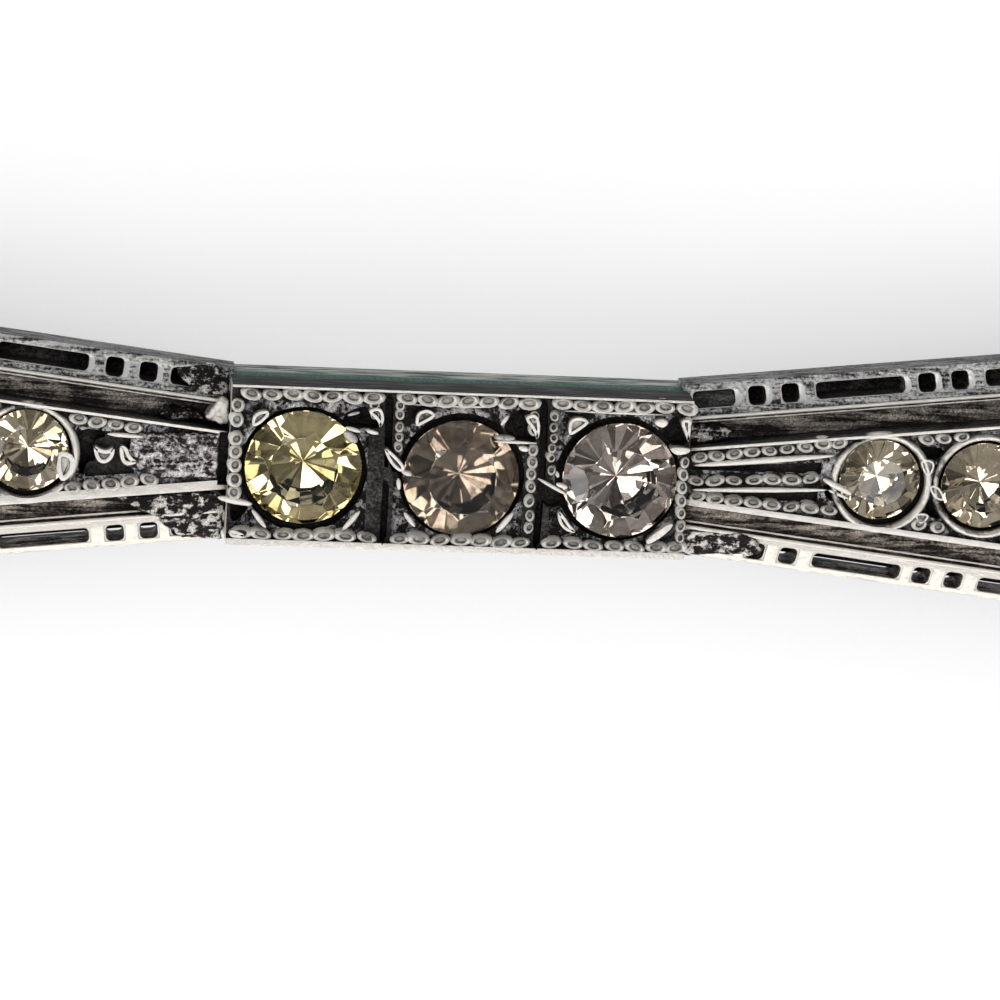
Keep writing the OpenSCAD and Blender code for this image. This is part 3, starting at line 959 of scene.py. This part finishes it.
def mirrored(piece, name, scale):
    copy = copy_of(piece)
    copy.name = name
    copy.scale = scale
    place_here(copy)
    turned_in = sum(f.center.dot(f.normal) * f.area for f in copy.data.polygons) < 0
    if turned_in:
        edit(copy, 'SELECT')
        bpy.ops.mesh.flip_normals()
        leave_edit()
    return copy


# name, shift of the openings, finish, end with the worn mouths, and the way that it is mirrored
# the far rails take the shaded copy of the rail metal and the near rails the lit copy
rails = (("rail_far_right", 0.0, far_rail_shaded_copy, "outer", (1, 1, 1)),
         ("rail_far_left", 0.27, far_rail_shaded_copy, "inner", (-1, 1, 1)),
         ("rail_near_right", 0.22, near_rail_lit_copy, "none", (1, -1, 1)),
         ("rail_near_left", 0.10, near_rail_lit_copy, "none", (-1, -1, 1)))
for name, shift, finish, mouth_at, ways in rails:
    rail = make_rail(shift, finish, mouth_at)
    hand_in(mirrored(rail, name, ways), "silver", "frame")
    bpy.data.objects.remove(rail)

# %% [markdown]
# Between the rails lies a dark channel, and in its middle the raised strip that carries the stones.
# The strip has a border of its own, and the ground between its rows of beads is cut down. The two
# wings were cut by hand and differ, so each strip gets its own cuts.

# %% Channels, strips and back plates
strip_far = 0.07
start_x = half_block - 0.1
wing_stones = list(zip(wing_x, wing_d))
stone_gaps = [(x + d / 2 + stone_gap / 2, d) for x, d in wing_stones[:-1]]
bore_share = 0.92
groove_deep = 0.32


def flared_plate(name, half_start, half_end, low, high):
    return outline_prism(name, [(start_x, -half_start), (plate_end, -half_end), (plate_end, half_end),
                                (start_x, half_start)], low, high)


def wing_bore(x, d):
    return round_tool(bore_share * d, (x, 0), -3, above / 2)


def groove(outline):
    """Tool for a hollow whose far wall slopes and is rubbed bright."""
    tool = outline_prism("groove", outline, -strip_drop - groove_deep, above)
    tool.data.materials.append(pit_black)
    edit_faces(tool, lambda face: face.normal.z > 0.5)
    bpy.ops.transform.translate(value=(0, 0.35, 0))
    leave_edit()
    finish_faces(tool, dull_and_shaded_silver, lambda face: face.normal.y > 0.6)
    return tool


def gusset(x, d, side):
    """The hollow between two stones, on the far side or the near one."""
    near = 0.28 * d * side
    out = (strip_half(x) - 0.46) * side
    corners = [(x - 0.14, near), (x + 0.14, near), (x + 0.42, out), (x - 0.42, out)]
    return outline_prism("gusset", rounded(corners, 1), -strip_drop - 0.4, above)


def make_strip(own_cuts, from_gap, way, strip_near):
    """The strip of one wing, mirrored first where it is the left one, so that its own cuts fit."""
    strip = flared_plate("strip", strip_half(start_x), strip_half(wing_end), -channel_drop - 0.1, -strip_drop)
    strip.data.materials.append(bright_silver)
    inner_x = wing_end - end_wall
    trough = outline_prism("trough", [(start_x, -strip_half(start_x) + strip_near),
                                      (inner_x, -strip_half(inner_x) + strip_near),
                                      (inner_x, strip_half(inner_x) - strip_far),
                                      (start_x, strip_half(start_x) - strip_far)], -strip_drop - 0.1, above)
    cut_away(strip, trough, ground_silver)
    tools = [gusset(x, d, side) for x, d in stone_gaps[from_gap:] for side in (-1, 1)]
    for x, d in wing_stones:
        tools += [round_tool(d + 0.2, (x, 0), -strip_drop - 0.46, above), wing_bore(x, d)]
    cut_away(strip, join("tools", tools), pit_black)
    own_strip = mirrored(strip, "own_strip", (way, 1, 1))
    bpy.data.objects.remove(strip)
    for tool, finish in own_cuts:
        cut_away(own_strip, tool, finish)
    soften(own_strip, 0.02)
    # the strip's sides that face the far side get the dark metal: painted shade
    finish_faces(own_strip, dark_metal_painted_shade,
                 lambda face: face.normal.y > 0.75 and face.center.z < -strip_drop - 0.1)
    return own_strip


right_grooves = ([(5.85, -0.2), (5.85, -0.5), (9.05, -0.62), (9.05, -0.24)],
                 [(5.85, 0.12), (9.1, 0.12), (9.1, 0.42), (5.85, 0.2)])
right_pits = ([(9.14, -0.03), (9.62, -0.25), (9.69, -0.54), (9.28, -0.5)],
              [(11.2, 0.8), (11.55, 0.99), (12.25, 0.92), (12.04, 0.62), (11.57, 0.66)],
              [(11.75, -0.34), (12.44, -0.47), (12.38, -0.83), (12.0, -0.9), (11.78, -0.67)])
# depth and outline of the ground by the first stone, of the gap at the block and of the pit
left_pits = ((0.25, [(-9.2, -0.55), (-8.0, -0.42), (-8.0, 0.55), (-9.2, 0.66)]),
             (0.35, [(-5.95, -0.62), (-5.5, -0.62), (-5.5, 0.72), (-5.95, 0.72)]),
             (0.6, rounded([(-9.67, 0.49), (-9.08, 0.7), (-8.63, 0.49), (-9.07, 0.32), (-8.9, -0.14),
                            (-9.2, -0.23), (-9.26, -0.54), (-9.38, -0.43), (-9.32, 0.0), (-10.0, 0.15)], 1)))
right_cuts = [(groove(outline), None) for outline in right_grooves]
right_cuts += [(outline_prism("pit", rounded(pit, 1), -strip_drop - 0.5, above), pit_black)
               for pit in right_pits]
left_cuts = [(outline_prism("pit", pit, -strip_drop - deep, above), pit_black) for deep, pit in left_pits]
# side, its way, its cuts, the first gap with gussets and the width of the near border
strips = (("right", 1, right_cuts, 1, 0.15), ("left", -1, left_cuts, 0, 0.24))
for word, way, own_cuts, from_gap, near in strips:
    hand_in(join("strip_" + word, [make_strip(own_cuts, from_gap, way, near)]), "silver", "frame")
channel = flared_plate("channel_right", rail_half(start_x) - rail_w + 0.02,
                       rail_half(wing_end) - rail_w + 0.05, -channel_drop - floor_h, -channel_drop)
channel.data.materials.append(channel_brown)
cut_away(channel, join("bores", [wing_bore(x, d) for x, d in wing_stones]), pit_black)
back = flared_plate("back_right", rail_half(start_x) - wall / 2, rail_half(wing_end) - wall / 2,
                    -frame_h, -frame_h + 0.3)
back.data.materials.append(far_rail_shaded_copy)
finish_faces(back, pit_black, lambda face: face.normal.z > 0.5)
end_half = rail_half(wing_end) - 0.5
end_piece = box_piece("end_right", (wing_end - end_wall, -end_half, -frame_h), (wing_end, end_half, -1.05))
end_piece.data.materials.append(far_rail_shaded_copy)
soften(end_piece, 0.05)
for piece in (channel, back, end_piece):
    hand_in(mirrored(piece, piece.name.replace("right", "left"), (-1, 1, 1)), "silver", "frame")
    hand_in(piece, "silver", "frame")


# %% [markdown]
# Where the wings were soldered to the block, and where old repairs were made, the metal is rough. A
# patch of it is a flat outline that is turned into a fine net, pushed in and out by a cloud texture,
# and laid over the sound metal, so that it falls with the slope of the rail under it.

# %% Solder and rough patches
def inner_half(x):
    return rail_half(x) - rail_w


def rough_patch(name, outline, low, high, finish, lumps, grain, laid=True, net=0.045):
    """A lumpy slab over an outline, laid down on the slope of the rails."""
    patch = outline_prism(name, outline, low, high)
    use_modifier(patch, 'REMESH', mode='VOXEL', voxel_size=net)
    cloud = bpy.data.textures.new(name, 'CLOUDS')
    cloud.noise_scale = grain
    cloud.noise_depth = 2
    use_modifier(patch, 'DISPLACE', texture=cloud, strength=lumps, mid_level=0.5, texture_coords='LOCAL')
    if laid:
        for vertex in patch.data.vertices:
            vertex.co.z -= rail_tip * max(0.0, abs(vertex.co.y) - inner_half(vertex.co.x))
    patch.data.materials.append(finish)
    pick(patch)
    bpy.ops.object.shade_smooth()
    return patch


on_rail = -rail_in_drop + 0.05
patches = [
    rough_patch("wear_near_right", [(5.72, -2.2), (5.72, -1.45), (6.29, -1.5), (7.28, -1.5), (7.87, -1.85),
                                    (7.73, -2.15), (7.05, -2.06), (6.2, -2.2)],
                -1.25, on_rail, rough_black, lumps=0.16, grain=0.25),
    rough_patch("wear_near_left", [(-8.43, -1.12), (-7.39, -1.6), (-6.88, -2.07), (-6.53, -2.18),
                                   (-5.72, -2.2), (-5.72, -0.95), (-6.17, -0.92)],
                -1.4, on_rail, rough_black, lumps=0.2, grain=0.28),
    rough_patch("wear_far_left", [(-7.1, 2.16), (-6.12, 2.24), (-5.72, 2.0), (-5.72, 1.46), (-6.6, 1.6)],
                -1.3, on_rail - 0.02, rough_black, lumps=0.16, grain=0.2),
    rough_patch("floor_far_right", [(5.75, 2.2), (6.85, 2.2), (7.05, 1.7), (5.75, 1.38)],
                -1.5, -1.1, dark_metal_painted_shade, lumps=0.04, grain=0.3),
    rough_patch("strip_wear_left", [(-8.03, 0.6), (-5.95, 0.7), (-5.97, -0.45), (-7.53, -0.52), (-8.3, -0.2)],
                -0.9, -0.5, worn_grey, lumps=0.14, grain=0.22, laid=False, net=0.035),
    rough_patch("solder_left", [(-6.3, 1.02), (-5.95, 1.5), (-5.72, 1.45), (-5.72, 0.85), (-6.0, 0.88)],
                -1.3, -0.66, bright_silver, lumps=0.2, grain=0.3, laid=False),
    rough_patch("crumbs_left", [(-7.45, 1.0), (-7.3, 1.2), (-6.6, 1.12), (-6.35, 0.95), (-7.0, 0.85)],
                -1.4, -0.95, rough_black, lumps=0.3, grain=0.2, laid=False),
    rough_patch("solder_right", [(5.72, 0.72), (6.1, 0.78), (6.6, 0.86), (6.93, 1.1), (6.55, 1.21),
                                 (5.72, 1.2)],
                -1.4, -0.92, rough_black, lumps=0.22, grain=0.25, laid=False),
]
for patch in patches:
    hand_in(patch, "silver", "frame")

# %% [markdown]
# Each wing stone sits in a collet, a ring of metal rubbed down over its girdle. It is spun: an oval
# section is turned about the stone's axis.

# %% Collets
collet_wire = 0.2
collet_tall = 0.41
collet_z = -strip_drop - 0.195
collet_sides = 10


def collet(x, d):
    bpy.ops.mesh.primitive_circle_add(vertices=collet_sides, radius=1)
    ring = bpy.context.object
    for i, vertex in enumerate(ring.data.vertices):
        turn = 2 * math.pi * i / collet_sides
        vertex.co = (d / 2 + 0.18 + collet_wire / 2 * math.cos(turn), 0, collet_tall / 2 * math.sin(turn))
    edit(ring, 'SELECT', 'VERT')
    bpy.ops.mesh.spin(steps=56, angle=2 * math.pi, center=(0, 0, 0), axis=(0, 0, 1), use_auto_merge=True)
    face_outwards()
    ring.location = (x, 0, collet_z)
    place_here(ring)
    bpy.ops.object.shade_smooth()
    return ring


for side, word in ((-1, "left"), (1, "right")):
    rings = join("collets_" + word, [collet(side * x, d) for x, d in wing_stones])
    rings.data.materials.append(collet_silver)
    hand_in(rings, "silver", "frame")


# %% [markdown]
# ## Beads and grains of the wings
# Rows of beads run along both edges of each strip, and on the plain part next to the block a third
# row runs between them. Beads that would stand in a collet are left out. The cups and tongues beside
# the first stones are set one by one.

# %% Beads of the wings
def clear_of_collets(beads):
    kept = []
    for piece in beads:
        spot = piece.location.xy
        if all((Vector((math.copysign(x, spot.x), 0)) - spot).length > d / 2 + 0.3 for x, d in wing_stones):
            kept.append(piece)
        else:
            bpy.data.objects.remove(piece)
    return kept


wing_z = -strip_drop + 0.03
cup_foot = -1.0
inner_x, outer_x = 9.6, wing_end - 0.8
row_start = inner_x + 0.3
outer_count = round((outer_x - inner_x) / 0.44)
far_outer = (strip_half(inner_x) - 0.21, strip_half(outer_x) - 0.21)
near_outer = (0.31 - strip_half(inner_x), 0.31 - strip_half(outer_x))
# start, end, number and size of the beads of each row next to the block
own_rows = {
    "right": (((6.02, 0.50), (9.5, 0.97), 9, (0.46, 0.29)), ((5.95, -0.12), (8.85, 0.03), 7, (0.50, 0.26)),
              ((6.0, -0.53), (9.35, -0.75), 8, (0.49, 0.27))),
    "left": (((-8.05, 0.72), (-9.41, 0.90), 4, (0.47, 0.30)),
             ((-7.62, -0.56), (-9.51, -0.86), 5, (0.50, 0.34))),
}
# start, end and width of each drop, and how far its two ends lie below the strip
own_drops = {
    "right": (((5.8, 0.28), (9.45, 0.67), 0.17, 0.03, 0.03), ((5.8, -0.34), (9.3, -0.22), 0.14, 0.03, 0.03),
              ((9.13, 0.07), (9.94, -0.32), 0.17, 0, 0.02), ((9.3, -0.22), (9.84, -0.43), 0.09, 0.02, 0.04)),
    "left": (((-8.71, 0.56), (-7.81, 0.52), 0.12, 0.02, 0.02),),
}
# width of the lip, height over the strip and outline of each cup
own_cups = {
    "right": ((0.05, 0, [(11.5, 0.67), (12.0, 0.62), (11.8, 0.1)]),
              (0.05, 0, [(11.8, 0.0), (12.1, -0.02), (12.3, -0.4), (12.0, -0.36)]),
              (0.05, 0, [(11.48, -0.72), (11.97, -0.74), (11.7, -1.08)])),
    "left": ((0.09, 0.02, [(-9.05, 0.3), (-8.95, -0.12), (-8.72, -0.2), (-8.52, -0.02), (-8.5, 0.26),
                           (-8.75, 0.12)]),
             (0.09, 0.02, [(-8.4, 0.3), (-8.35, -0.12), (-8.15, -0.22), (-7.9, -0.12), (-8.12, 0.02),
                           (-8.2, 0.26)]),
             (0.12, 0, [(-9.98, 0.12), (-9.45, 0.02), (-9.48, -0.5), (-9.85, -0.75)])),
}
for word, way in (("right", 1), ("left", -1)):
    beads = []
    for start, end, count, size in own_rows[word]:
        beads += bead_row(start, end, count, wing_z, size)
    for (y_start, y_end), size in ((far_outer, (0.42, 0.27)), (near_outer, (0.42, 0.34))):
        beads += bead_row((way * row_start, y_start), (way * outer_x, y_end), outer_count, wing_z, size)
    beads = clear_of_collets(beads)
    beads += [drop(start, end, width, -strip_drop - low_start, -strip_drop - low_end)
              for start, end, width, low_start, low_end in own_drops[word]]
    beads += [cup(outline, cup_foot, -strip_drop + high, lip) for lip, high, outline in own_cups[word]]
    hand_in(join("wing_beads_" + word, beads), "silver", "frame")
bpy.data.objects.remove(bead)

# %% [markdown]
# ## Stones
# A paste stone is glass with a metal foil on its back facets, which throws the light back through
# the front. Some back facets get a darker foil, a painted shade for the dark facets that a cut stone
# shows, so the back gets two finishes. The middle stone's glass is scratched dull.

# %% Stone finishes
def glass_material(name, tint, rough):
    material = plain_material(name, tint, rough)
    shader = material.node_tree.nodes["Principled BSDF"]
    shader.inputs["Transmission Weight"].default_value = 1.0
    shader.inputs["IOR"].default_value = 1.6
    return material


def foil_material(name, bright, dull):
    material = plain_material(name, bright, 0.03)
    tree = material.node_tree
    shader = tree.nodes["Principled BSDF"]
    shader.inputs["Metallic"].default_value = 1.0
    pattern = tree.nodes.new("ShaderNodeGroup")
    pattern.node_tree = old_metal
    mask = add_range(tree, pattern.outputs["Patches"], 0.35, 0.55)
    tree.links.new(add_mix(tree, mask, dull, bright), shader.inputs["Base Color"])
    return material


def paste(name, tint, foil, worn, rough=0.0):
    """Glass, foil and a darker foil that paints shaded facets, for one kind of stone. Each foil has a bright
    and a dull tone.
    """
    return (glass_material(name + "_glass", tint, rough), foil_material(name + "_foil", *foil),
            foil_material(name + "_worn", *worn))


olive = paste("olive", (0.98, 0.97, 0.86), ((1.0, 0.92, 0.70), (0.70, 0.62, 0.44)),
              ((0.45, 0.41, 0.26), (0.20, 0.18, 0.11)))
brown = paste("brown", (0.97, 0.95, 0.92), ((0.72, 0.64, 0.55), (0.50, 0.43, 0.36)),
              ((0.55, 0.49, 0.43), (0.30, 0.27, 0.24)), rough=0.09)
rose = paste("rose", (0.99, 0.985, 0.97), ((1.0, 0.95, 0.90), (0.85, 0.76, 0.70)),
             ((0.60, 0.53, 0.48), (0.34, 0.29, 0.26)))
pale = paste("pale", (1.0, 0.98, 0.95), ((1.0, 0.93, 0.80), (0.86, 0.77, 0.62)),
             ((0.55, 0.49, 0.38), (0.32, 0.27, 0.20)))
print("stone finishes:", [m.name for m in bpy.data.materials if "foil" in m.name or "glass" in m.name])


# %% [markdown]
# A stone is ground flat facet by facet on a turning wheel. The same is done here: a round blank is
# cut by planes, one for each facet, eight and sixteen to a row, and the crown's edges are worn.

# %% Cutting a stone
def slice_off(point, normal):
    """Cuts away what lies beyond a plane and closes the cut with a flat facet."""
    bpy.ops.mesh.select_all(action='SELECT')
    bpy.ops.mesh.bisect(plane_co=point, plane_no=normal, use_fill=True, clear_outer=True, clear_inner=False,
                        threshold=0.00001)


def cut_stone():
    """A round brilliant with a girdle of radius 1 whose top is at height 0."""
    sides = 8
    table_r, crown_h, girdle_h, back_h = 0.62, 0.30, 0.05, 0.84
    bpy.ops.mesh.primitive_cylinder_add(vertices=64, radius=1, depth=crown_h + girdle_h + back_h,
                                        location=(0, 0, (crown_h - girdle_h - back_h) / 2))
    stone = bpy.context.object
    place_here(stone)
    edit(stone, 'SELECT')

    def facet(turn, r, z, slope, up=1):
        """One facet: where it passes, its slope in degrees, and whether it looks up or down."""
        slope = math.radians(slope)
        outward = Vector((math.cos(turn), math.sin(turn), 0))
        normal = outward * math.sin(slope) + Vector((0, 0, up * math.cos(slope)))
        slice_off(outward * r + Vector((0, 0, z)), normal)

    step = 2 * math.pi / sides
    for i in range(sides):
        facet(step * i, 1.0, 0, 36)
    for i in range(2 * sides):
        facet(step * (i + 0.5) / 2, 1.0, 0.0, 43)
    for i in range(sides):
        facet(step * (i + 0.5), table_r * math.cos(step / 2), crown_h, 20)
    for i in range(2 * sides):
        facet(step * i / 2, 0, -girdle_h - back_h, 40.5, -1)
    for i in range(2 * sides):
        facet(step * (i + 0.5) / 2, 1.0, -girdle_h, 43, -1)
    leave_edit()
    edit(stone, 'DESELECT', 'EDGE')
    leave_edit()
    points = stone.data.vertices
    for edge in stone.data.edges:
        edge.select = all(points[i].co.z > -0.001 for i in edge.vertices)
    bpy.ops.object.mode_set(mode='EDIT')
    bpy.ops.mesh.bevel(offset=0.007, segments=1)
    leave_edit()
    return stone


pattern_stone = cut_stone()
print("one stone:", len(pattern_stone.data.polygons), "facets")

# %% [markdown]
# Each stone is a copy of the pattern in its own size, turned and leaned a little, as by a hurried
# hand. A seeded choice says which of its back facets get the darker foil of painted shade.

# %% Setting the stones
slots = {part["node"]: part["material_slot"] for part in frame["record"]["subparts"]}
main_sink = 0.33
wing_sink = strip_drop + 0.2
main_at = ((0.04, -0.07), (0.06, -0.2), (0.12, -0.12))


def set_stone(node, d, centre, turn, lean, finishes, shaded_share):
    stone = copy_of(pattern_stone)
    stone.name = "cut_" + node
    glass, foil, worn = finishes
    stone.data.materials.append(glass)
    finish_faces(stone, foil, lambda face: face.center.z < -0.02)
    back_faces = [face.index for face in stone.data.polygons if face.center.z < -0.1]
    shaded_faces = {index for index in back_faces if chance.random() < shaded_share}
    # the darker foil on these facets is painted shade
    finish_faces(stone, worn, lambda face: face.index in shaded_faces)
    stone.scale = (d / 2, d / 2, d / 2)
    stone.rotation_euler = (math.radians(lean[0]), math.radians(lean[1]), math.radians(turn))
    stone.location = centre
    place_here(stone)
    hand_in(stone, slots[node], node)


# node, finishes, turn and lean in degrees, and the share of its back facets with the darker foil of painted
# shade
main_stones = (("stone_left", olive, 8, (2.0, -3.0), 0.3), ("stone_middle", brown, 20, (-1.5, 1.0), 0.35),
               ("stone_right", rose, 5, (-1.5, 2.5), 0.35))
for x, (across, along), (node, finishes, turn, lean, share) in zip(cell_x, main_at, main_stones):
    set_stone(node, main_d, (x + across, along, -main_sink), turn, lean, finishes, share)
stone_off = {"wing_stone_l1": (0.0, 0.05), "wing_stone_r1": (-0.03, 0.05)}
for side, word in ((-1, "l"), (1, "r")):
    for i, (x, d) in enumerate(wing_stones):
        node = "wing_stone_" + word + str(i + 1)
        across, along = stone_off.get(node, (0, 0))
        lean = (chance.uniform(-2, 2), chance.uniform(-2, 2))
        set_stone(node, d, (side * x + across, along, -wing_sink), 17 * i + 5 * side, lean, pale, 0.25)
bpy.data.objects.remove(pattern_stone)

# %% [markdown]
# ## Pin fitting
# The pin fitting on the back is plain round and square metal, and nothing of it shows from the face.
# It keeps its imported solid and only gets a finish: worn silver tone, darker in the corners, partly tarnish
# and partly painted shade.

# %% Plain metal of the pin fitting
pin_metal = metal_finish("pin_metal", (0.70, 0.69, 0.66), (0.2, 0.18, 0.16), (0.1, 0.5), (0.3, 0.5), 0.03)
pin_back = frame["nodes"]["pin_back"]
pin_back.data.materials.clear()
pin_back.data.materials.append(pin_metal)
